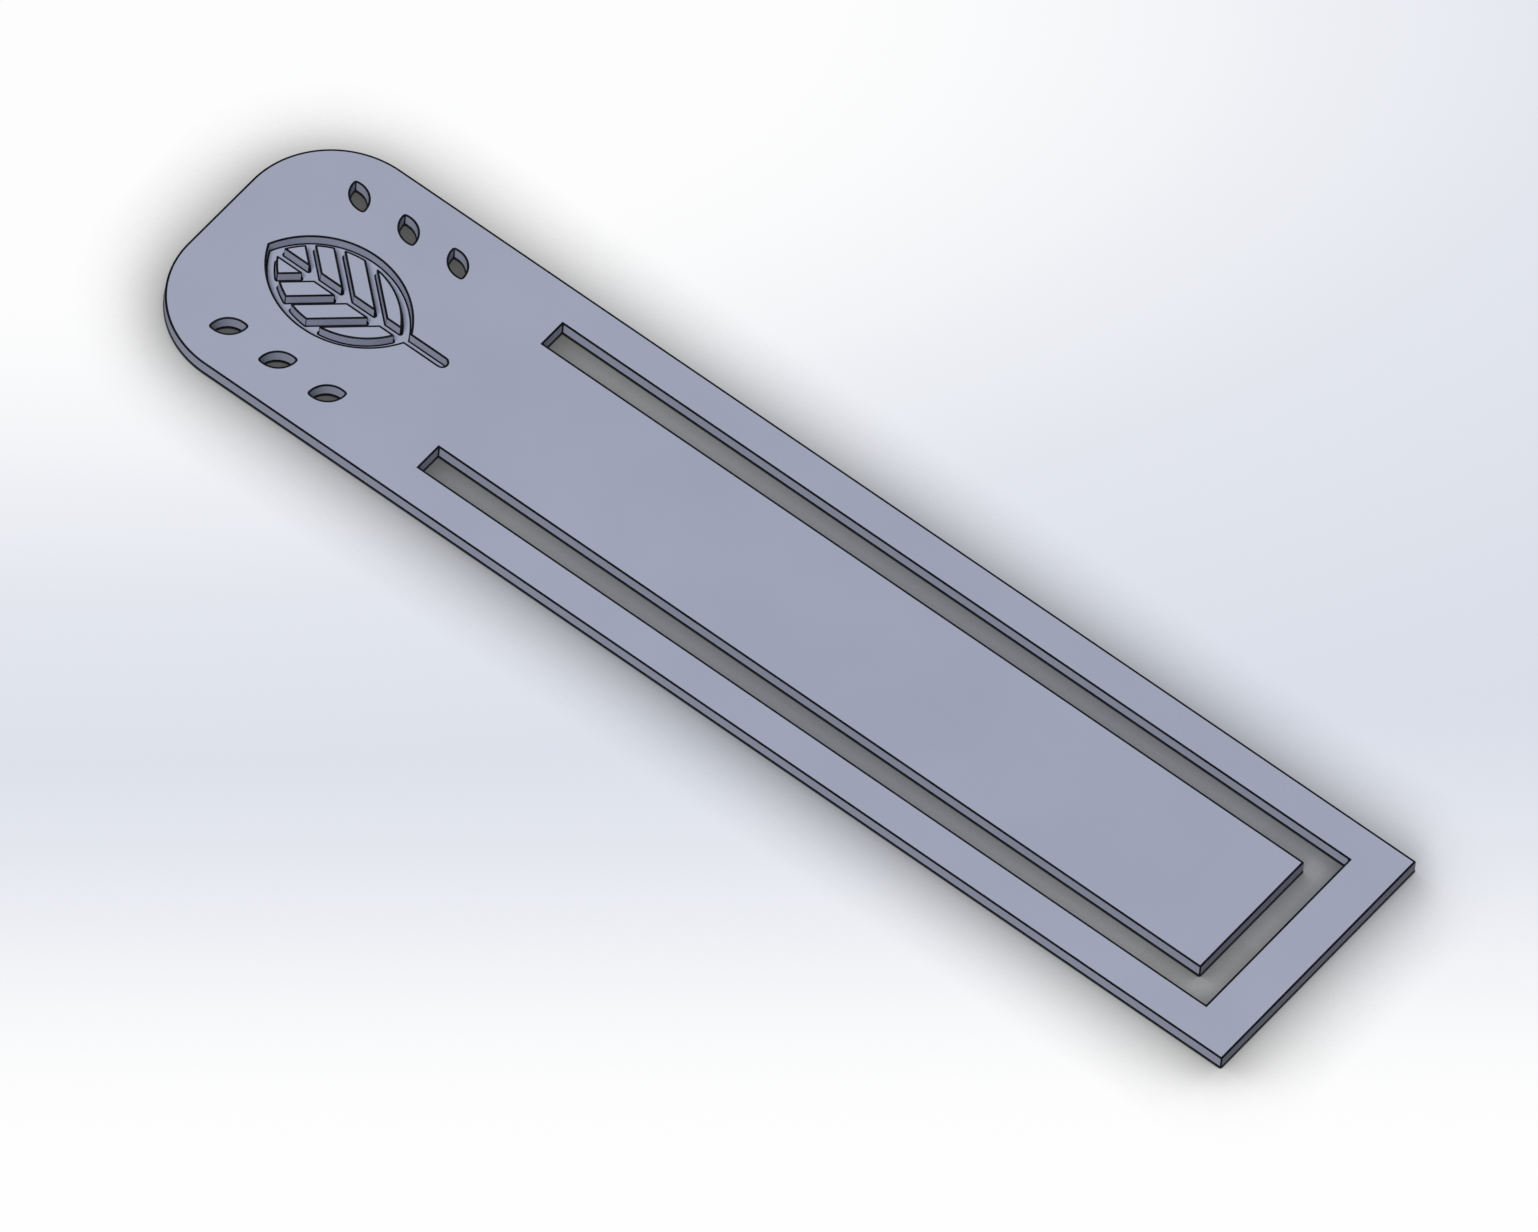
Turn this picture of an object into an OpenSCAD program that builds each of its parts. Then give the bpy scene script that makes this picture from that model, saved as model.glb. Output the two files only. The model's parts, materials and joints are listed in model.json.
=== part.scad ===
// Bookmark: one flat sheet with a U-shaped slot, which frees a long tongue
// that clips over a page. +X runs from the rounded head to the square foot,
// +Z points up out of the engraved face, and the origin is the middle of the
// underside. Left and right are as seen from above with the head at the top.
// The sheet is divided at the ends of the tongue and rails, where the pieces
// meet face to face, and across the lines where the tongue and rails bend.

/* [Plate] */
// Length from the head's end to the foot's end
plate_length = 133; // [110:1:180]
// Width across both rails
plate_width = 30; // [26:1:50]
// Thickness of the sheet
plate_thickness = 1.5; // [0.8:0.1:3]
// Radius of the two corners of the head
corner_radius = 10; // [2:0.5:12]
// Length of the solid head, from its end to the slot
head_length = 33; // [31:1:45]
// Width of each side rail
rail_width = 4; // [2:0.5:6]
// Width of the slot beside and past the tongue
slot_width = 3; // [1.5:0.1:4]
// Width of the bar across the foot, measured along the length
foot_width = 5; // [3:0.5:10]

/* [Bends] */
// Most that the sheet turns at one bend line, in degrees
bend_angle = 4.5; // [1:0.5:9]
// Room left at a bend line when it is bent all the way
bend_clearance = 0.1; // [0.05:0.05:0.3]

/* [Engraved leaf] */
// Distance from the head's end to the leaf's tip
leaf_margin = 6; // [4:0.5:8]
// Length of the leaf, without its stem
leaf_length = 17; // [14:0.5:19]
// Width of the leaf
leaf_width = 11; // [7:0.5:13]
// Width of the groove that outlines the leaf
leaf_border = 0.9; // [0.5:0.1:1.4]
// Width of the groove along the leaf's middle
midrib_width = 1; // [0.5:0.1:1.6]
// Width of each side vein's groove
vein_width = 0.8; // [0.4:0.1:1.2]
// Angle of the side veins to the midrib, in degrees
vein_angle = 42; // [30:1:60]
// Number of side veins on each side of the midrib
vein_pairs = 3; // [1:1:3]
// Distance along the midrib from one pair of side veins to the next
vein_pitch = 4; // [3:0.1:4.5]
// Distance from the leaf's base to the first pair of side veins
vein_start = 3.2; // [2:0.1:4]
// Length of the stem past the leaf's base
stem_length = 4; // [1:0.5:5]
// Thickness of the sheet left under the engraving
engraving_floor = 0.5; // [0.3:0.05:0.7]

/* [Pierced leaflets] */
// Number of leaflets along each side of the head
leaflet_pairs = 3; // [1:1:3]
// Length of each leaflet, from point to point
leaflet_length = 3.4; // [2:0.1:4]
// Width of each leaflet
leaflet_width = 1.7; // [1:0.1:2]
// Distance along the plate from one leaflet to the next
leaflet_pitch = 6; // [5:0.1:6.5]
// Distance from the head's end to the first pair of leaflets
leaflet_start = 9; // [7:0.5:11]
// Distance from the plate's edge to the middle of the leaflets
leaflet_margin = 5; // [3:0.1:5.5]
// Angle of the leaflets to the plate's length, in degrees
leaflet_angle = 40; // [0:1:90]

/* [Hidden] */

// Where the tongue and the rails have their bend lines, as shares of their free
// length: a strip pushed at its end turns about as much at each of them
bend_shares = [0.09, 0.3, 0.62];
// Sides of a full circle
arc_sides = 96;
// Every cut runs past the faces that it opens by this much
overrun = 0.5;
// Blue-grey plastic
sheet_colour = [0.62, 0.64, 0.72];

// Where the sheet's features lie along X
head_end_x = -plate_length / 2;
slot_start_x = head_end_x + head_length;
foot_end_x = plate_length / 2;
foot_start_x = foot_end_x - foot_width;
tongue_end_x = foot_start_x - slot_width;

// Widths and places across Y
left = -1;
right = 1;
tongue_width = plate_width - 2 * (rail_width + slot_width);
rail_y = (plate_width - rail_width) / 2;

// Free lengths of the tongue and the rails, and the gap at a bend line
tongue_length = tongue_end_x - slot_start_x;
rail_length = foot_start_x - slot_start_x;
bend_gap = plate_thickness * tan(bend_angle / 2) + bend_clearance;

// Engraving and piercing
engraving_depth = plate_thickness - engraving_floor;
leaf_tip_x = head_end_x + leaf_margin;
leaf_base_x = leaf_tip_x + leaf_length;
leaf_middle_x = leaf_tip_x + leaf_length / 2;
leaflet_y = plate_width / 2 - leaflet_margin;

// Ends of section k, from 0 at the root, of a strip of this free length
function section_start(free_length, k) =
    k == 0 ? slot_start_x
    : slot_start_x + free_length * bend_shares[k - 1] + bend_gap / 2;
function section_end(free_length, k) =
    k == len(bend_shares) ? slot_start_x + free_length
    : slot_start_x + free_length * bend_shares[k] - bend_gap / 2;

// One flat piece of a strip, centred on y
module strip_section(free_length, k, y, width) {
    start = section_start(free_length, k);
    color(sheet_colour)
        translate([start, y - width / 2, 0])
            cube([section_end(free_length, k) - start, width, plate_thickness]);
}

// A pointed oval: what two equal discs share. It is centred, with its points on X.
// border draws the parallel oval that lies that far inside.
module pointed_oval(oval_length, oval_width, height, border = 0) {
    radius = (pow(oval_length, 2) + pow(oval_width, 2)) / (4 * oval_width);
    shift = radius - oval_width / 2;
    intersection() {
        translate([0, shift, 0])
            cylinder(h = height, r = radius - border, $fn = arc_sides);
        translate([0, -shift, 0])
            cylinder(h = height, r = radius - border, $fn = arc_sides);
    }
}

// The head's outline: square at the slot, with two round corners at its end
module head_blank() {
    corner_x = head_end_x + corner_radius;
    corner_y = plate_width / 2 - corner_radius;
    translate([corner_x, -plate_width / 2, 0])
        cube([slot_start_x - corner_x, plate_width, plate_thickness]);
    translate([head_end_x, -corner_y, 0])
        cube([corner_radius + overrun, 2 * corner_y, plate_thickness]);
    for (side = [left, right])
        translate([corner_x, side * corner_y, 0])
            cylinder(h = plate_thickness, r = corner_radius, $fn = arc_sides);
}

// The midrib and side veins, which part the raised fields of the leaf
module leaf_veins(height) {
    translate([leaf_tip_x, -midrib_width / 2, 0])
        cube([leaf_length, midrib_width, height]);
    for (side = [left, right], i = [0 : vein_pairs - 1])
        translate([leaf_base_x - vein_start - i * vein_pitch, 0, 0])
            rotate([0, 0, side * (180 - vein_angle)])
                translate([0, -vein_width / 2, 0])
                    cube([leaf_width, vein_width, height]);
}

// The raised fields, which stay at the height of the plate's face
module leaf_fields(height) {
    difference() {
        translate([leaf_middle_x, 0, 0])
            pointed_oval(leaf_length, leaf_width, height, leaf_border);
        translate([0, 0, -overrun])
            leaf_veins(height + 2 * overrun);
    }
}

// What is cut out of the face to engrave the leaf and its stem
module leaf_cut() {
    cut_height = engraving_depth + overrun;
    translate([0, 0, engraving_floor]) {
        difference() {
            translate([leaf_middle_x, 0, 0])
                pointed_oval(leaf_length, leaf_width, cut_height);
            translate([0, 0, -overrun])
                leaf_fields(cut_height + 2 * overrun);
        }
        translate([leaf_base_x - leaf_border, -midrib_width / 2, 0])
            cube([leaf_border + stem_length, midrib_width, cut_height]);
        translate([leaf_base_x + stem_length, 0, 0])
            cylinder(h = cut_height, d = midrib_width, $fn = arc_sides);
    }
}

// Small leaves cut right through, in a straight row along each side
module leaflet_cuts() {
    for (side = [left, right], i = [0 : leaflet_pairs - 1])
        translate([head_end_x + leaflet_start + i * leaflet_pitch, side * leaflet_y, -overrun])
            rotate([0, 0, -side * leaflet_angle])
                pointed_oval(leaflet_length, leaflet_width, plate_thickness + 2 * overrun);
}

module head_plate() {
    color(sheet_colour)
        difference() {
            head_blank();
            leaf_cut();
            leaflet_cuts();
        }
}

module tongue_root() { strip_section(tongue_length, 0, 0, tongue_width); }
module tongue_inner() { strip_section(tongue_length, 1, 0, tongue_width); }
module tongue_outer() { strip_section(tongue_length, 2, 0, tongue_width); }
module tongue_tip() { strip_section(tongue_length, 3, 0, tongue_width); }

module left_rail_root() { strip_section(rail_length, 0, left * rail_y, rail_width); }
module left_rail_inner() { strip_section(rail_length, 1, left * rail_y, rail_width); }
module left_rail_outer() { strip_section(rail_length, 2, left * rail_y, rail_width); }
module left_rail_tip() { strip_section(rail_length, 3, left * rail_y, rail_width); }

module right_rail_root() { strip_section(rail_length, 0, right * rail_y, rail_width); }
module right_rail_inner() { strip_section(rail_length, 1, right * rail_y, rail_width); }
module right_rail_outer() { strip_section(rail_length, 2, right * rail_y, rail_width); }
module right_rail_tip() { strip_section(rail_length, 3, right * rail_y, rail_width); }

// The bar that ties both rails together past the tongue
module foot_bar() {
    color(sheet_colour)
        translate([foot_start_x, -plate_width / 2, 0])
            cube([foot_width, plate_width, plate_thickness]);
}

head_plate();
tongue_root();
tongue_inner();
tongue_outer();
tongue_tip();
left_rail_root();
left_rail_inner();
left_rail_outer();
left_rail_tip();
right_rail_root();
right_rail_inner();
right_rail_outer();
right_rail_tip();
foot_bar();
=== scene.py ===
import json
import math

import bmesh
import bpy
from mathutils import Matrix, Vector
from mathutils.geometry import tessellate_polygon


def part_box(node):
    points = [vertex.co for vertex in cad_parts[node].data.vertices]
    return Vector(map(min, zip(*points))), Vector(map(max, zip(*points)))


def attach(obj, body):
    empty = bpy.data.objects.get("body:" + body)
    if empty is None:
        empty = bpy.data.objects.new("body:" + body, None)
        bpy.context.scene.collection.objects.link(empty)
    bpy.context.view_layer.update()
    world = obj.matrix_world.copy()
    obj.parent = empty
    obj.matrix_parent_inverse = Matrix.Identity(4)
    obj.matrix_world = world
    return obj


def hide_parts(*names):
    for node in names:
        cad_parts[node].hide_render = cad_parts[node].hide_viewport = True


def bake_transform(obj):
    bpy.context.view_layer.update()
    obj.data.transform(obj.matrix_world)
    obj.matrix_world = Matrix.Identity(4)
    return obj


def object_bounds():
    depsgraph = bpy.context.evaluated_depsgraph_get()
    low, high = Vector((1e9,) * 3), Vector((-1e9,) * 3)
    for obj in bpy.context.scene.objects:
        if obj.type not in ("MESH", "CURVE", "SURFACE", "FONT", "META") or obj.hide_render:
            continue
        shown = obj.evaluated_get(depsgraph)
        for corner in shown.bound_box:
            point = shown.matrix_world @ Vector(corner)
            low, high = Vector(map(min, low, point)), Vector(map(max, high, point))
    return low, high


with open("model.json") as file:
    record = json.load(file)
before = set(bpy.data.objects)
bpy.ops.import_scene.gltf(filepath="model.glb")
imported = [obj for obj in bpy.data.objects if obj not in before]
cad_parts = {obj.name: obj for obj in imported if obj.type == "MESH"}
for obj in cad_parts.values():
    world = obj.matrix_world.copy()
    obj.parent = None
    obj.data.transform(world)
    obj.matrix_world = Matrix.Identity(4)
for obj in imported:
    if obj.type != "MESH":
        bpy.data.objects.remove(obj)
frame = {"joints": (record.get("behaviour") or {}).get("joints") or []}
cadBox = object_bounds()
mm = 0.001  # outlines are drawn in millimetres, and the frame is in metres
tiny = 0.001  # a length in millimetres, or an angle in radians, that counts as none


def boxInMm(node):
    low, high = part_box(node)
    return low / mm, high / mm


headLow, headHigh = boxInMm("head_plate")
tongueHigh = boxInMm("tongue_tip")[1]
railLow = boxInMm("right_rail_root")[0]
footLow, footHigh = boxInMm("foot_bar")
thickness = headHigh.z
jointX = {joint["name"]: joint["pos_m"][0] / mm for joint in frame["joints"]}
print("frame: sheet of", round(footHigh.x - headLow.x, 2), "x", round(headHigh.y * 2, 2), "mm")


# the sheet's own plastic, and the darker rim that runs round every cut and along the groove floors at
# the foot of their walls
sheetLook = {
    "colour": (0.350, 0.375, 0.485),
    "deeperColour": (0.336, 0.360, 0.467),
    "cloud": {"sizes": (14, 14, 14), "detail": 3, "span": (0.35, 0.65)},
    "scuff": {"sizes": (9, 0.35, 0.35), "detail": 4, "span": (0.3, 0.7)},
    "grain": {"sizes": (0.22, 0.22, 0.22), "detail": 2},
    "grainDepth": 0.012 * mm,
    "grainStrength": 0.35,
    "roughness": (0.5, 0.6),
    "specular": 0.25,
}
edgeLook = {
    "colour": (0.002, 0.0022, 0.003),
    "paleColour": (0.009, 0.0095, 0.013),
    "patch": {"sizes": (2.5, 2.5, 2.5), "detail": 3, "span": (0.35, 0.65)},
    "roughness": 0.55,
    "specular": 0.04,
}


def newMaterial(name):
    material = bpy.data.materials.new(name)
    material.use_nodes = True
    nodes = material.node_tree.nodes
    return material, nodes, material.node_tree.links, nodes["Principled BSDF"]


def noiseAt(nodes, links, look):
    # noise whose blobs measure about these sizes, in millimetres along X, Y and Z
    place = nodes.new("ShaderNodeTexCoord")
    stretch = nodes.new("ShaderNodeMapping")
    stretch.inputs["Scale"].default_value = [1 / (size * mm) for size in look["sizes"]]
    noise = nodes.new("ShaderNodeTexNoise")
    noise.inputs["Scale"].default_value = 1
    noise.inputs["Detail"].default_value = look["detail"]
    links.new(place.outputs["Object"], stretch.inputs["Vector"])
    links.new(stretch.outputs["Vector"], noise.inputs["Vector"])
    return noise.outputs["Fac"]


def spread(nodes, links, value, span, newSpan):
    ranges = nodes.new("ShaderNodeMapRange")
    for socket, number in zip(("From Min", "From Max", "To Min", "To Max"), (*span, *newSpan)):
        ranges.inputs[socket].default_value = number
    links.new(value, ranges.inputs["Value"])
    return ranges.outputs["Result"]


def mixColours(nodes, links, share, first, second):
    mix = nodes.new("ShaderNodeMix")
    mix.data_type = "RGBA"
    sockets = {socket.identifier: socket for socket in mix.inputs}
    links.new(share, sockets["Factor_Float"])
    sockets["A_Color"].default_value = (*first, 1)
    sockets["B_Color"].default_value = (*second, 1)
    return next(s for s in mix.outputs if s.identifier == "Result_Color")


def makeSheetPlastic(look):
    material, nodes, links, shader = newMaterial("satinSheetPlastic")
    cloud = spread(nodes, links, noiseAt(nodes, links, look["cloud"]), look["cloud"]["span"], (0, 1))
    colour = mixColours(nodes, links, cloud, look["colour"], look["deeperColour"])
    links.new(colour, shader.inputs["Base Color"])
    scuff = noiseAt(nodes, links, look["scuff"])
    roughness = spread(nodes, links, scuff, look["scuff"]["span"], look["roughness"])
    links.new(roughness, shader.inputs["Roughness"])
    shader.inputs["Specular IOR Level"].default_value = look["specular"]
    bump = nodes.new("ShaderNodeBump")
    bump.inputs["Strength"].default_value = look["grainStrength"]
    bump.inputs["Distance"].default_value = look["grainDepth"]
    links.new(noiseAt(nodes, links, look["grain"]), bump.inputs["Height"])
    links.new(bump.outputs["Normal"], shader.inputs["Normal"])
    return material


# near-black rims at every edge, and bands on the groove floors along the foot of each groove wall
def makeDarkEdgeRim(look):
    material, nodes, links, shader = newMaterial("darkEdgeRim")
    patch = spread(nodes, links, noiseAt(nodes, links, look["patch"]), look["patch"]["span"], (0, 1))
    colour = mixColours(nodes, links, patch, look["colour"], look["paleColour"])
    links.new(colour, shader.inputs["Base Color"])
    shader.inputs["Roughness"].default_value = look["roughness"]
    shader.inputs["Specular IOR Level"].default_value = look["specular"]
    return material


sheetPlastic = makeSheetPlastic(sheetLook)
darkEdgeRim = makeDarkEdgeRim(edgeLook)
print("materials: sheet plastic and dark edge rim")


# outlines are drawn from above, with the sheet on their left
edges = {
    "breakWidth": 0.04,      # the small rounding of every rim
    "breakSteps": 3,
    "faceRim": 0.18,         # how far the dark edge reaches onto the face
    "wallRim": 0.01,         # and down the wall
    "footRim": 0.27,         # and up the wall from the back
    "cornerRadius": 0.12,    # the rounding of upright corners
    "cornerSteps": 4,
    "arcStep": 3,            # degrees from one point to the next along a large arc
    "largeRadius": 1,        # from here up an arc counts as large
    "softTurn": 15,          # degrees, below which a convex outline's turn gets a single point
    "smoothAngle": 35,       # a sharper turn from face to face stays crisp
    "cutSpacing": 1.5,       # from one bend cut to the next
}


def leftOf(start, end):
    along = (end - start).normalized()
    return Vector((-along.y, along.x))


def turnAt(before, here, after):
    first, second = leftOf(before, here), leftOf(here, after)
    return math.atan2(first.x * second.y - first.y * second.x, first.dot(second))


def neighbours(points):
    return zip(points[-1:] + points[:-1], points, points[1:] + points[:1])


def mitreAt(before, here, after):
    # how far a corner goes for 1 mm of inset
    first, second = leftOf(before, here), leftOf(here, after)
    return (first + second) / (1 + first.dot(second))


def arcPoints(centre, radius, start, sweep):
    steps = math.ceil(abs(math.degrees(sweep)) / edges["arcStep"])
    if radius < edges["largeRadius"]:
        steps = max(2, math.ceil(abs(sweep) / (math.pi / 2) * edges["cornerSteps"]))
    angles = [start + sweep * i / steps for i in range(steps + 1)]
    return [centre + radius * Vector((math.cos(angle), math.sin(angle))) for angle in angles]


def traceOutline(corners):
    # a corner is x, y, its radius, and what follows it: "side" or "seam". An outline is its points,
    # the kind of what follows each, and the sharp corner and mitre that a small round one stands for.
    points, kinds, sharpCorners = [], [], []
    places = [Vector(corner[:2]) for corner in corners]
    for (before, here, after), corner in zip(neighbours(places), corners):
        radius, follows = corner[2:]
        if not radius:
            points.append(here)
            kinds.append(follows)
            sharpCorners.append(None)
            continue
        turn = turnAt(before, here, after)
        start = here - (here - before).normalized() * radius * math.tan(abs(turn) / 2)
        side = math.copysign(1, turn)
        centre = start + leftOf(before, here) * radius * side
        out = start - centre
        arc = arcPoints(centre, radius, math.atan2(out.y, out.x), turn)
        isSmall = radius < edges["largeRadius"]
        points += arc
        kinds += ["corner" if isSmall else "side"] * (len(arc) - 1) + [follows]
        sharpCorners += [(here, mitreAt(before, here, after)) if isSmall else None] * len(arc)
    return points, kinds, sharpCorners


def clipConvex(points, normal, reach):
    kept = []
    for here, after in zip(points, points[1:] + points[:1]):
        inside = here.dot(normal) - reach
        nextInside = after.dot(normal) - reach
        if inside >= 0:
            kept.append(here)
        if inside * nextInside < 0:
            kept.append(here.lerp(after, inside / (inside - nextInside)))
    return [here for before, here, _ in neighbours(kept) if (here - before).length > tiny]


def insetConvex(points, distance):
    inner = points
    for here, after in zip(points, points[1:] + points[:1]):
        normal = leftOf(here, after)
        inner = clipConvex(inner, normal, here.dot(normal) + distance)
    return inner


def softenConvex(points, radius):
    # rounds the corners of a convex outline, however short its edges are
    outline, kinds = [], []
    for before, here, after in neighbours(insetConvex(points, radius)):
        turn = turnAt(before, here, after)
        out = -leftOf(before, here)
        start = math.atan2(out.y, out.x)
        if math.degrees(turn) < edges["softTurn"]:
            middle = start + turn / 2
            outline.append(here + radius * Vector((math.cos(middle), math.sin(middle))))
            kinds.append("side")
        else:
            arc = arcPoints(here, radius, start, turn)
            outline += arc
            kinds += ["corner"] * (len(arc) - 1) + ["side"]
    return outline, kinds, [None] * len(outline)


def ovalRadius(length, width):
    return (length ** 2 + width ** 2) / (4 * width)


def pointedOval(length, width, border=0):
    # what two equal discs share, with its points on X
    radius = ovalRadius(length, width)
    shift = radius - width / 2
    half = math.acos(shift / (radius - border))
    lower = arcPoints(Vector((0, shift)), radius - border, -math.pi / 2 - half, 2 * half)
    upper = arcPoints(Vector((0, -shift)), radius - border, math.pi / 2 - half, 2 * half)
    return lower[:-1] + upper[:-1]


def inwardVectors(points, kinds):
    # how far each point goes for 1 mm of inset, while a seam stays in its plane
    vectors = []
    kindsBefore = kinds[-1:] + kinds[:-1]
    for (before, here, after), kindBefore, kindAfter in zip(neighbours(points), kindsBefore, kinds):
        first, second = leftOf(before, here), leftOf(here, after)
        a, b = float(kindBefore != "seam"), float(kindAfter != "seam")
        cross = first.x * second.y - first.y * second.x
        vector = first
        if abs(cross) > tiny:
            vector = Vector((a * second.y - b * first.y, b * first.x - a * second.x)) / cross
        vectors.append(vector)
    return vectors


def breakArc():
    # inset and height of the rounding, from its flat end to its upright end
    width, steps = edges["breakWidth"], edges["breakSteps"]
    angles = [math.pi / 2 * i / steps for i in range(steps + 1)]
    return [(width * (1 - math.sin(angle)), width * (1 - math.cos(angle))) for angle in angles]


def makeRing(bm, outline, inward, inset, z):
    # the inner end of the dark rim has sharp corners
    ring = []
    for point, sharpCorner, vector in zip(outline[0], outline[2], inward):
        if sharpCorner and inset > edges["breakWidth"]:
            place = sharpCorner[0] + sharpCorner[1] * inset
        else:
            place = point + vector * inset
        isNew = not ring or (ring[-1].co.xy - place).length > tiny
        ring.append(bm.verts.new((*place, z)) if isNew else ring[-1])
    return ring


def raiseWall(bm, outline, low, high, roundedBelow, faceEdge=None):
    # A groove's wall stands on a sharp foot, the others are rounded at both ends, and a seam is one
    # flat face. The dark rim on the face ends at faceEdge, or else runs parallel to the outline.
    points, kinds, _ = outline
    inward = inwardVectors(points, kinds)
    arc = breakArc()
    width = edges["breakWidth"]
    faceInset = width + edges["faceRim"]
    # under a groove's wall the dark rim lies on the groove floor, faceRim wide
    foot = [(faceInset, 0)] + arc if roundedBelow else [(-edges["faceRim"], 0), (0, 0)]
    profile = [(inset, low + height) for inset, height in foot]
    profile.append((0, profile[-1][1] + edges["footRim" if roundedBelow else "wallRim"]))
    plainLevel = len(profile) - 1
    profile.append((0, high - width - edges["wallRim"]))
    profile += [(inset, high - height) for inset, height in reversed([(faceInset, 0)] + arc)]
    if faceEdge:
        profile.pop()
    rings = [makeRing(bm, outline, inward, inset, z) for inset, z in profile]
    for i, kind in enumerate(kinds):
        j = (i + 1) % len(kinds)
        if kind == "seam":
            bm.faces.new([ring[j] for ring in rings] + [ring[i] for ring in reversed(rings)])
            continue
        for level, (lower, upper) in enumerate(zip(rings, rings[1:])):
            corners = list(dict.fromkeys((lower[i], lower[j], upper[j], upper[i])))
            if len(corners) > 2:
                face = bm.faces.new(corners)
                face.material_index = int(kind == "corner" or level != plainLevel)
    if not faceEdge:
        return rings[0], rings[-1]
    inner = [bm.verts.new((*place, high)) for place in faceEdge]
    fillFlat(bm, [rings[-1], inner], True, 1)
    return rings[0], inner


def fillFlat(bm, rings, facesUp, materialIndex=0):
    rings = [list(dict.fromkeys(ring)) for ring in rings]
    verts = [vert for ring in rings for vert in ring]
    faces = []
    for trio in tessellate_polygon([[vert.co for vert in ring] for ring in rings]):
        a, b, c = (verts[i] for i in trio)
        isUp = (b.co - a.co).cross(c.co - a.co).z > 0
        faces.append(bm.faces.new((a, b, c) if isUp == facesUp else (c, b, a)))
        faces[-1].material_index = materialIndex
    added = set(faces)
    between = [
        edge for edge in bm.edges
        if len(edge.link_faces) == 2 and added.issuperset(edge.link_faces)
    ]
    bmesh.ops.beautify_fill(bm, faces=faces, edges=between)


def cutAcross(bm, places):
    # between the cuts across the piece, its flat faces stay whole
    for x in places:
        everything = bm.verts[:] + bm.edges[:] + bm.faces[:]
        bmesh.ops.bisect_plane(bm, geom=everything, dist=tiny, plane_co=(x, 0, 0), plane_no=(1, 0, 0))
    spare = [
        edge for edge in bm.edges
        if len(edge.link_faces) == 2
        and abs(edge.verts[0].co.x - edge.verts[1].co.x) > tiny
        and edge.link_faces[0].material_index == edge.link_faces[1].material_index
        and edge.calc_face_angle(1) < tiny
    ]
    bmesh.ops.dissolve_edges(bm, edges=spare, use_verts=False)


def finishPiece(bm, name):
    bm.normal_update()
    for face in bm.faces:
        face.smooth = True
    for edge in bm.edges:
        kinds = {face.material_index for face in edge.link_faces}
        edge.smooth = len(kinds) == 1 and edge.calc_face_angle(0) < math.radians(edges["smoothAngle"])
    bm.transform(Matrix.Scale(mm, 4))
    mesh = bpy.data.meshes.new(name)
    bm.to_mesh(mesh)
    bm.free()
    mesh.materials.append(sheetPlastic)
    mesh.materials.append(darkEdgeRim)
    piece = bpy.data.objects.new(name, mesh)
    bpy.context.scene.collection.objects.link(piece)
    print("piece:", name, len(mesh.polygons), "faces")
    return piece


def blendPiece(piece, a, b, start, end, *nodes):
    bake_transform(piece)
    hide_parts(*nodes)


# the head, with the engraved leaf and the pierced leaflets
head = {
    "cornerRadius": 10,
    "rootStub": 1,           # how far it reaches into the tongue and the rails
}
leaf = {
    "margin": 6,             # from the end of the sheet to the leaf's point
    "length": 17,
    "width": 11,
    "border": 0.9,           # from the leaf's outline to its raised fields
    "midribWidth": 1,
    "veinWidth": 0.8,
    "veinAngle": 42,         # degrees between a vein and the midrib
    "veinPlaces": (3.2, 7.2, 11.2),  # along the midrib, from the stem
    "stemLength": 4,
    "floor": 0.5,            # height of the engraved ground over the back of the sheet
    "cornerRadius": 0.12,
}
leaflets = {
    "length": 3.4,
    "width": 1.7,
    "places": (9, 15, 21),   # from the end of the sheet
    "margin": 5,             # from its long sides
    "angle": 40,             # degrees from the length of the sheet
    "cornerRadius": 0.12,
}
slotX = headHigh.x
stubX = slotX + head["rootStub"]
halfWidth = headHigh.y
tongueY = tongueHigh.y
railY = railLow.y
sharp = edges["cornerRadius"]


def headOutline():
    return traceOutline([
        (stubX, -halfWidth, 0, "seam"),
        (stubX, -railY, 0, "side"),
        (slotX, -railY, sharp, "side"),
        (slotX, -tongueY, sharp, "side"),
        (stubX, -tongueY, 0, "seam"),
        (stubX, tongueY, 0, "side"),
        (slotX, tongueY, sharp, "side"),
        (slotX, railY, sharp, "side"),
        (stubX, railY, 0, "seam"),
        (stubX, halfWidth, 0, "side"),
        (headLow.x, halfWidth, head["cornerRadius"], "side"),
        (headLow.x, -halfWidth, head["cornerRadius"], "side"),
    ])


def moved(points, x, y, angle=0):
    turned = Matrix.Rotation(math.radians(angle), 2)
    return [turned @ point + Vector((x, y)) for point in points]


def asHole(outline):
    # the same outline with the sheet outside it
    points, kinds, _ = outline
    return points[::-1], kinds[-2::-1] + kinds[-1:], [None] * len(points)


def leafOutline():
    # the pointed oval and its stem, which bound the groove together
    middleX = headLow.x + leaf["margin"] + leaf["length"] / 2
    stemEnd = headLow.x + leaf["margin"] + leaf["length"] + leaf["stemLength"]
    half = leaf["midribWidth"] / 2
    oval = moved(pointedOval(leaf["length"], leaf["width"]), middleX, 0)
    oval = [point for point in oval if abs(point.y) > half or point.x < middleX]
    radius = ovalRadius(leaf["length"], leaf["width"])
    joinX = middleX + math.sqrt(radius ** 2 - (radius - leaf["width"] / 2 + half) ** 2)
    stem = [Vector((joinX, -half))] + arcPoints(Vector((stemEnd, 0)), half, -math.pi / 2, math.pi)
    stem.append(Vector((joinX, half)))
    split = next(i for i, point in enumerate(oval) if point.x > middleX and point.y > 0)
    points = oval[:split] + stem + oval[split:]
    return points, ["side"] * len(points), [None] * len(points)


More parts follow.
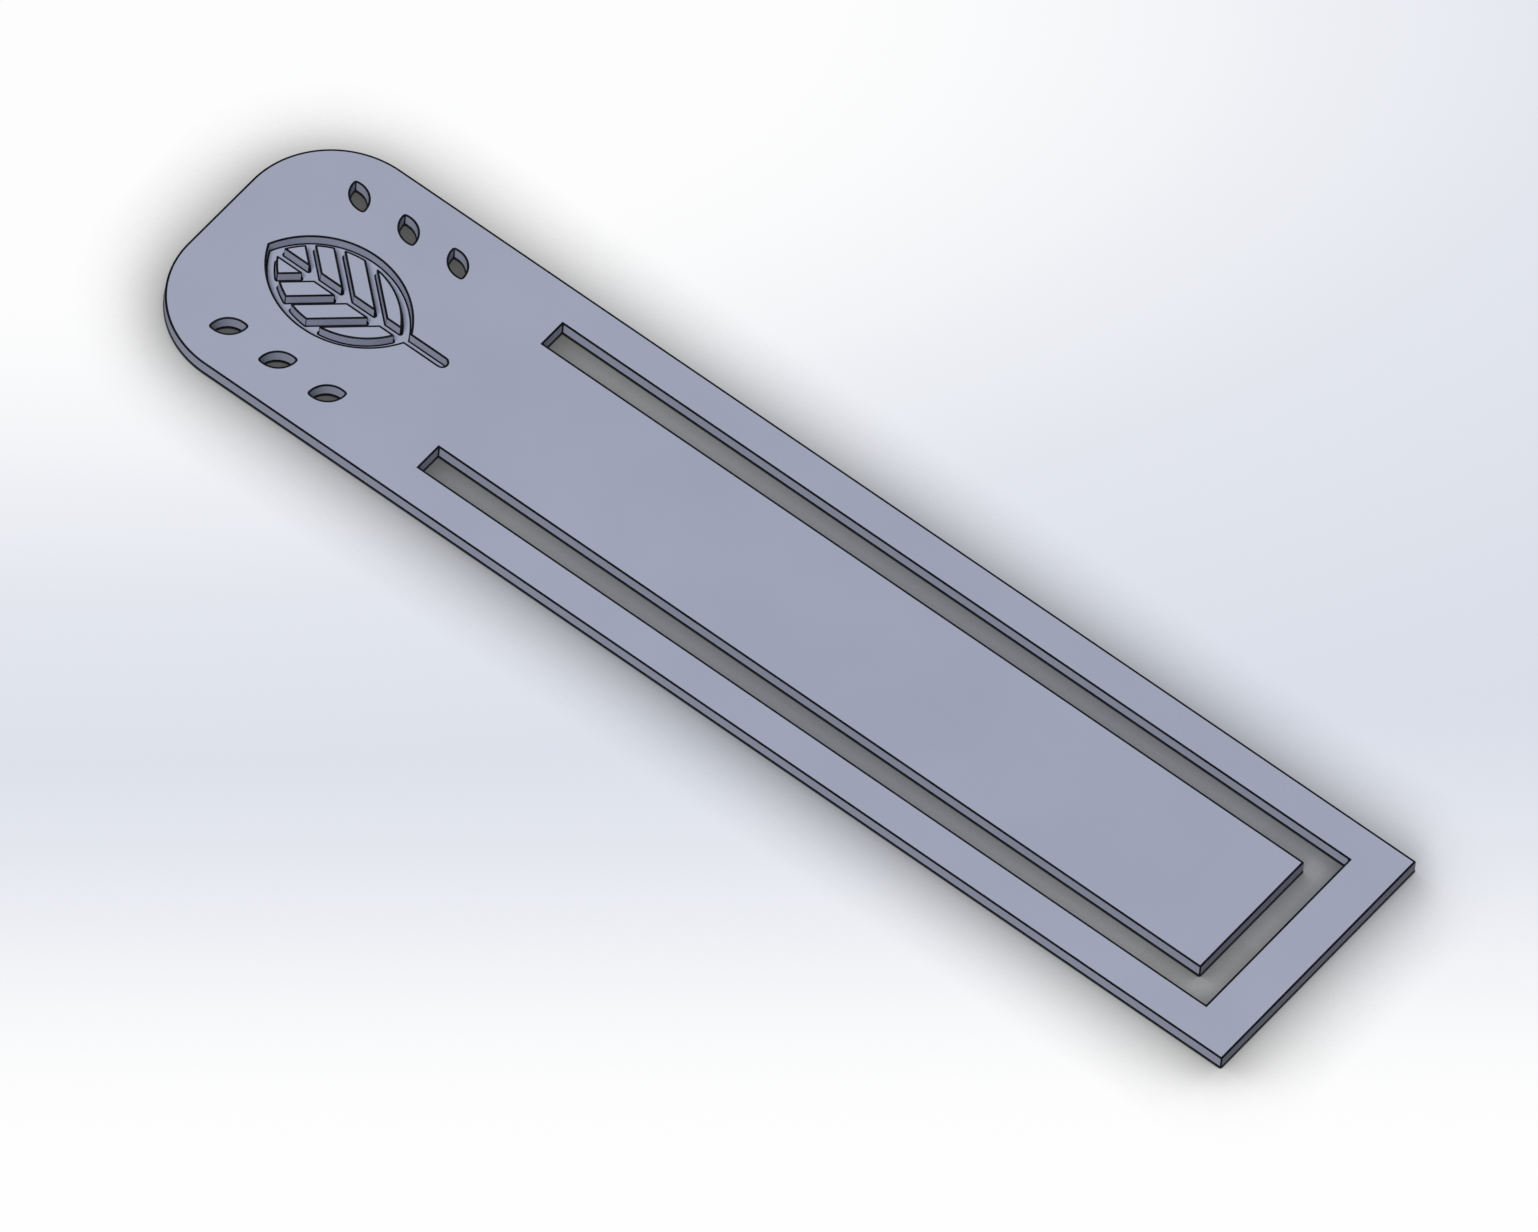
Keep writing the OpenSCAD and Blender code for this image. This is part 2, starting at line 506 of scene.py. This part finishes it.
def leafFields():
    # the raised fields between the midrib and the veins
    middleX = headLow.x + leaf["margin"] + leaf["length"] / 2
    baseX = middleX + leaf["length"] / 2
    angle = math.radians(leaf["veinAngle"])
    inner = moved(pointedOval(leaf["length"], leaf["width"], leaf["border"]), middleX, 0)
    inner = clipConvex(inner, Vector((0, 1)), leaf["midribWidth"] / 2)
    across = Vector((math.sin(angle), math.cos(angle)))
    axes = [across.x * (baseX - place) for place in leaf["veinPlaces"]]
    half = leaf["veinWidth"] / 2
    fields = []
    for k in range(len(axes) + 1):
        field = inner
        if k > 0:
            field = clipConvex(field, -across, -axes[k - 1] + half)
        if k < len(axes):
            field = clipConvex(field, across, axes[k] + half)
        fields.append(field)
    mirrored = [[Vector((point.x, -point.y)) for point in reversed(field)] for field in fields]
    rim = edges["breakWidth"] + edges["faceRim"]
    radius = leaf["cornerRadius"]
    return [(softenConvex(field, radius), insetConvex(field, rim)) for field in fields + mirrored]


def leafletHoles():
    oval = pointedOval(leaflets["length"], leaflets["width"])
    holes = []
    for side in (-1, 1):
        for place in leaflets["places"]:
            points = moved(oval, headLow.x + place, side * (halfWidth - leaflets["margin"]),
                           -side * leaflets["angle"])
            holes.append(asHole(softenConvex(points, leaflets["cornerRadius"])))
    return holes


def makeHeadSheet():
    bm = bmesh.new()
    outlines = [headOutline()] + leafletHoles()
    through = [raiseWall(bm, outline, 0, thickness, True) for outline in outlines]
    ground = leaf["floor"]
    grooveFloor, grooveRim = raiseWall(bm, asHole(leafOutline()), ground, thickness, False)
    fields = [raiseWall(bm, field, ground, thickness, False, rim) for field, rim in leafFields()]
    fillFlat(bm, [lower for lower, _ in through], False)
    fillFlat(bm, [upper for _, upper in through] + [grooveRim], True)
    fillFlat(bm, [grooveFloor] + [lower for lower, _ in fields], True)
    for _, upper in fields:
        fillFlat(bm, [upper], True)
    return finishPiece(bm, "headSheet")


headSheet = makeHeadSheet()
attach(headSheet, "head")
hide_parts("head_plate")


# the tongue and the frame round it, in lengths that each span one joint's zone
def bendZones(start, joints):
    # the ends of the zones, each centred on its joint
    ends = [start]
    for joint in joints:
        ends.append(2 * jointX[joint] - ends[-1])
    return ends


def makeStrip(name, corners, start, end):
    bm = bmesh.new()
    lower, upper = raiseWall(bm, traceOutline(corners), 0, thickness, True)
    fillFlat(bm, [lower], False)
    fillFlat(bm, [upper], True)
    count = round((end - start) / edges["cutSpacing"])
    pieceEnd = max(corner[0] for corner in corners)
    places = [start + (end - start) * i / count for i in range(1, count + 1)]
    cutAcross(bm, [place for place in places if place < pieceEnd - tiny])
    return finishPiece(bm, name)


def stripLength(name, low, high, start, end):
    return makeStrip(name, [
        (start, low, 0, "side"),
        (end, low, 0, "seam"),
        (end, high, 0, "side"),
        (start, high, 0, "seam"),
    ], start, end)


tongueZones = bendZones(stubX, ["tongue_bend", "tongue_bend_middle", "tongue_bend_outer"])
frameZones = bendZones(stubX, ["frame_bend", "frame_bend_middle", "frame_bend_outer"])

piece = stripLength("tongueNear", -tongueY, tongueY, *tongueZones[:2])
blendPiece(piece, "head", "tongue_near", *tongueZones[:2], "tongue_root", "tongue_inner")
piece = stripLength("tongueMiddle", -tongueY, tongueY, *tongueZones[1:3])
blendPiece(piece, "tongue_near", "tongue_far", *tongueZones[1:3], "tongue_inner", "tongue_outer")
piece = makeStrip("tongueFar", [
    (tongueZones[2], -tongueY, 0, "side"),
    (tongueHigh.x, -tongueY, sharp, "side"),
    (tongueHigh.x, tongueY, sharp, "side"),
    (tongueZones[2], tongueY, 0, "seam"),
], *tongueZones[2:])
blendPiece(piece, "tongue_far", "tongue_end", *tongueZones[2:], "tongue_outer", "tongue_tip")

for side, low, high in (("left", -halfWidth, -railY), ("right", railY, halfWidth)):
    piece = stripLength(side + "RailNear", low, high, *frameZones[:2])
    blendPiece(piece, "head", "frame_near", *frameZones[:2], side + "_rail_root", side + "_rail_inner")
    piece = stripLength(side + "RailMiddle", low, high, *frameZones[1:3])
    blendPiece(piece, "frame_near", "frame_far", *frameZones[1:3],
               side + "_rail_inner", side + "_rail_outer")

loopX = frameZones[2]
piece = makeStrip("footLoop", [
    (loopX, -halfWidth, 0, "side"),
    (footHigh.x, -halfWidth, sharp, "side"),
    (footHigh.x, halfWidth, sharp, "side"),
    (loopX, halfWidth, 0, "seam"),
    (loopX, railY, 0, "side"),
    (footLow.x, railY, sharp, "side"),
    (footLow.x, -railY, sharp, "side"),
    (loopX, -railY, 0, "seam"),
], *frameZones[2:])
blendPiece(piece, "frame_far", "frame_end", *frameZones[2:], "foot_bar",
           "left_rail_outer", "left_rail_tip", "right_rail_outer", "right_rail_tip")

cameraView = {
    "azimuth": 33.15,
    "elevation": 54.71,
    "roll": 6.25,
    "lens": 1200,            # millimetres, long enough for the parallel look of the photograph
    "frameWidth": 145.83,    # what the frame spans at the object, in millimetres
    "aim": (2.41, -2.81, 1.5),
    "clipEnd": 50,           # in metres
}


def makeCamera(look):
    data = bpy.data.cameras.new("camera")
    data.lens = look["lens"]
    data.clip_end = look["clipEnd"]
    distance = look["frameWidth"] * mm * look["lens"] / data.sensor_width
    a, e, roll = (math.radians(look[key]) for key in ("azimuth", "elevation", "roll"))
    back = Vector((math.sin(a) * math.cos(e), -math.cos(a) * math.cos(e), math.sin(e)))
    level = Vector((math.cos(a), math.sin(a), 0))
    right = level * math.cos(roll) + back.cross(level) * math.sin(roll)
    camera = bpy.data.objects.new("camera", data)
    camera.matrix_world = Matrix.Translation(Vector(look["aim"]) * mm + back * distance) @ Matrix(
        (right, back.cross(right), back)).transposed().to_4x4()
    bpy.context.scene.collection.objects.link(camera)
    bpy.context.scene.camera = camera


makeCamera(cameraView)
print("camera: set")


# The sheet lies on the floor, which holds its shade. The floor's tint lies deeper, under where a strip
# bent downwards would reach.
photoSize = (1538, 1232)
floorLook = {
    "halfSize": 3,           # metres
    "shadeDrop": 0.02 * mm,
    "tintDrop": 20 * mm,
    "pale": (0.991, 0.991, 0.991),
    "tinted": (0.701, 0.730, 0.814),
    "bounce": (0.22, 0.22, 0.22),
    "touch": 0.1 * mm,       # where the sheet is this close, the floor lights its underside,
    "lightBelow": 0.8,       # which would be black in a view from below
    # the floor is pale in an oval round the photograph's top left corner, and past its lower part
    "ovalReach": (1170, 440),
    "ovalShade": ((0.7, 0.03), (0.8, 0.1), (1.0, 0.3), (1.1, 0.46), (1.3, 0.68), (1.4, 0.78),
                  (1.8, 0.93), (2.0, 1)),
    "lowerShade": ((700, 1), (780, 0.87), (850, 0.73), (920, 0.5), (1000, 0.22), (1080, 0.03),
                   (1150, 0)),
    "shadeReach": 9 * mm,
    "shadeDirections": 8,
    "shadeSamples": 16,
    "fewSamples": 8,         # for what needs less care
    "depthSeen": 17 * mm,    # how deep a strip bent below the floor keeps the shade off itself
    "depthSpan": (0.7, 1),
    "lineReach": 0.15 * mm,  # the dark line of painted shade where the sheet meets the floor
    "lineSpan": (0.75, 0.93),
    "lineShade": (0.1, 1),
    # share of the low rays that meet the object, and how much light is left there
    "shade": ((0.0, 1.0), (0.02, 0.98), (0.03, 0.935), (0.065, 0.745), (0.122, 0.6), (0.185, 0.51),
              (0.25, 0.36), (0.27, 0.28), (0.3, 0.24), (0.34, 0.18), (0.5, 0.05)),
}
lampLook = {
    "ambient": 0.18,         # the world's light on the sheet
    "white": 1,              # the world where the camera sees it
    "keyTilt": 28.5,         # degrees from overhead, towards the near side
    "keyDistance": 1.5,      # metres, as is the size
    "keySize": 0.9,
    "keyPower": 21.2,        # watts
}


def tintPoint(pixel):
    # the place at the tint's height that the camera sees at this pixel of the photograph
    camera = bpy.context.scene.camera
    across = camera.data.sensor_width / camera.data.lens / photoSize[0]
    ray = Vector(((pixel[0] - photoSize[0] / 2) * across, (photoSize[1] / 2 - pixel[1]) * across, -1))
    start = camera.matrix_world.translation
    along = camera.matrix_world.to_3x3() @ ray
    return (start - along * ((start.z + floorLook["tintDrop"]) / along.z)).to_2d()


def mathNode(nodes, links, operation, first, second):
    node = nodes.new("ShaderNodeMath")
    node.operation = operation
    for socket, value in zip(node.inputs, (first, second)):
        if isinstance(value, bpy.types.NodeSocket):
            links.new(value, socket)
        else:
            socket.default_value = value
    return node.outputs["Value"]


def rampNode(nodes, links, value, stops):
    # a stop is a place and its grey level, and the last stop's level goes on past it
    ramp = nodes.new("ShaderNodeValToRGB")
    top = stops[-1][0]
    elements = ramp.color_ramp.elements
    for place, _ in stops[1:-1]:
        elements.new(place / top)
    for element, (place, level) in zip(elements, stops):
        element.position = place / top
        element.color = (level, level, level, 1)
    links.new(mathNode(nodes, links, "DIVIDE", value, top), ramp.inputs["Fac"])
    return ramp.outputs["Color"]


def mixShaders(nodes, links, share, first, second):
    choice = nodes.new("ShaderNodeMixShader")
    links.new(share, choice.inputs["Fac"])
    links.new(first, choice.inputs[1])
    links.new(second, choice.inputs[2])
    return choice.outputs["Shader"]


def clearShader(nodes, links, colour=None):
    clear = nodes.new("ShaderNodeBsdfTransparent")
    if colour:
        links.new(colour, clear.inputs["Color"])
    return clear.outputs["BSDF"]


def tintSeen(nodes, links, look):
    # photograph pixels over the floor, as shares of the oval's reach
    corner = tintPoint((0, 0))
    sides = Matrix([tintPoint((look["ovalReach"][0], 0)) - corner,
                    tintPoint((0, look["ovalReach"][1])) - corner]).transposed().inverted()
    place = nodes.new("ShaderNodeTexCoord")
    shares = []
    for row in sides:
        dot = nodes.new("ShaderNodeVectorMath")
        dot.operation = "DOT_PRODUCT"
        links.new(place.outputs["Object"], dot.inputs[0])
        dot.inputs[1].default_value = (row.x, row.y, 0)
        shares.append(mathNode(nodes, links, "SUBTRACT", dot.outputs["Value"], row.dot(corner)))
    squares = [mathNode(nodes, links, "MULTIPLY", share, share) for share in shares]
    reach = mathNode(nodes, links, "SQRT", mathNode(nodes, links, "ADD", *squares), 0)
    oval = rampNode(nodes, links, reach, look["ovalShade"])
    height = mathNode(nodes, links, "MULTIPLY", shares[1], look["ovalReach"][1])
    lower = rampNode(nodes, links, height, look["lowerShade"])
    depth = mathNode(nodes, links, "MINIMUM", oval, lower)
    return clearShader(nodes, links, mixColours(nodes, links, depth, look["pale"], look["tinted"]))


def floorRays(nodes, reach, samples):
    # rays from the floor, whose "AO" is the share that meets nothing within this reach
    rays = nodes.new("ShaderNodeAmbientOcclusion")
    rays.samples = samples
    rays.inputs["Distance"].default_value = reach
    return rays


def contactShade(nodes, links, look):
    # low rays all round, which the object hides close by
    total = 0
    count = look["shadeDirections"]
    for i in range(count):
        angle = (i + 0.5) * 2 * math.pi / count
        along = nodes.new("ShaderNodeCombineXYZ")
        along.inputs["X"].default_value = math.cos(angle)
        along.inputs["Y"].default_value = math.sin(angle)
        rays = floorRays(nodes, look["shadeReach"], look["shadeSamples"])
        links.new(along.outputs["Vector"], rays.inputs["Normal"])
        total = mathNode(nodes, links, "ADD", rays.outputs["AO"], total)
    hidden = spread(nodes, links, total, (0, count), (1, 0))
    below = floorRays(nodes, look["depthSeen"], look["fewSamples"])
    below.inside = True
    clear = spread(nodes, links, below.outputs["AO"], look["depthSpan"], (0, 1))
    hidden = mathNode(nodes, links, "MULTIPLY", hidden, clear)
    touching = floorRays(nodes, look["lineReach"], look["fewSamples"])
    line = spread(nodes, links, touching.outputs["AO"], look["lineSpan"], look["lineShade"])
    return mathNode(nodes, links, "MULTIPLY", rampNode(nodes, links, hidden, look["shade"]), line)


def shadeSeen(nodes, links, look):
    # worked out only where the object can shade the floor
    place = nodes.new("ShaderNodeTexCoord")
    axes = nodes.new("ShaderNodeSeparateXYZ")
    links.new(place.outputs["Object"], axes.inputs["Vector"])
    inside = 1
    for axis, half in (("X", cadBox[1].x), ("Y", cadBox[1].y)):
        away = mathNode(nodes, links, "ABSOLUTE", axes.outputs[axis], 0)
        inside = mathNode(nodes, links, "MULTIPLY",
                          mathNode(nodes, links, "LESS_THAN", away, half + look["shadeReach"]), inside)
    return mixShaders(nodes, links, inside, clearShader(nodes, links),
                      clearShader(nodes, links, contactShade(nodes, links, look)))


def makeFloor(name, drop, seenShader, look):
    # matt for the light, while the camera sees the white world through it, tinted or shaded
    size = look["halfSize"]
    mesh = bpy.data.meshes.new(name)
    corners = [(-size, -size, 0), (size, -size, 0), (size, size, 0), (-size, size, 0)]
    mesh.from_pydata(corners, [], [(0, 1, 2, 3)])
    floor = bpy.data.objects.new(name, mesh)
    floor.location.z = -drop
    bpy.context.scene.collection.objects.link(floor)
    material = bpy.data.materials.new(name)
    material.use_nodes = True
    nodes, links = material.node_tree.nodes, material.node_tree.links
    nodes.clear()
    matt = nodes.new("ShaderNodeBsdfDiffuse")
    matt.inputs["Color"].default_value = (*look["bounce"], 1)
    rays = nodes.new("ShaderNodeLightPath")
    glow = nodes.new("ShaderNodeEmission")
    glow.inputs["Strength"].default_value = look["lightBelow"]
    isTouching = mathNode(nodes, links, "LESS_THAN", rays.outputs["Ray Length"], look["touch"])
    above = mixShaders(nodes, links, isTouching, matt.outputs["BSDF"], glow.outputs["Emission"])
    above = mixShaders(nodes, links, rays.outputs["Is Camera Ray"], above,
                       seenShader(nodes, links, look))
    side = nodes.new("ShaderNodeNewGeometry")
    whole = mixShaders(nodes, links, side.outputs["Backfacing"], above, clearShader(nodes, links))
    output = nodes.new("ShaderNodeOutputMaterial")
    links.new(whole, output.inputs["Surface"])
    material.cycles.emission_sampling = "NONE"
    mesh.materials.append(material)


def makeKey(look):
    tilt = math.radians(look["keyTilt"])
    toLamp = Vector((0, -math.sin(tilt), math.cos(tilt)))
    data = bpy.data.lights.new("softKey", "AREA")
    data.shape = "DISK"
    data.size = look["keySize"]
    data.energy = look["keyPower"]
    lamp = bpy.data.objects.new("softKey", data)
    lamp.location = toLamp * look["keyDistance"]
    lamp.rotation_euler = toLamp.to_track_quat("Z", "Y").to_euler()
    bpy.context.scene.collection.objects.link(lamp)


def makeWorld(look):
    # dim for the light, and white where it's seen
    world = bpy.data.worlds.new("studio")
    world.use_nodes = True
    nodes, links = world.node_tree.nodes, world.node_tree.links
    nodes.clear()
    rays = nodes.new("ShaderNodeLightPath")
    seen = rays.outputs["Is Camera Ray"]
    for name in ("Is Glossy Ray", "Is Transmission Ray"):
        seen = mathNode(nodes, links, "MAXIMUM", seen, rays.outputs[name])
    levels = []
    for strength in (look["ambient"], look["white"]):
        level = nodes.new("ShaderNodeBackground")
        level.inputs["Color"].default_value = (1, 1, 1, 1)
        level.inputs["Strength"].default_value = strength
        levels.append(level.outputs["Background"])
    output = nodes.new("ShaderNodeOutputWorld")
    links.new(mixShaders(nodes, links, seen, *levels), output.inputs["Surface"])
    bpy.context.scene.world = world


makeFloor("shadedFloor", floorLook["shadeDrop"], shadeSeen, floorLook)
makeFloor("tintedFloor", floorLook["tintDrop"], tintSeen, floorLook)
makeKey(lampLook)
makeWorld(lampLook)
bpy.context.scene.view_settings.view_transform = "Standard"
print("stage: floor, lamp and world")
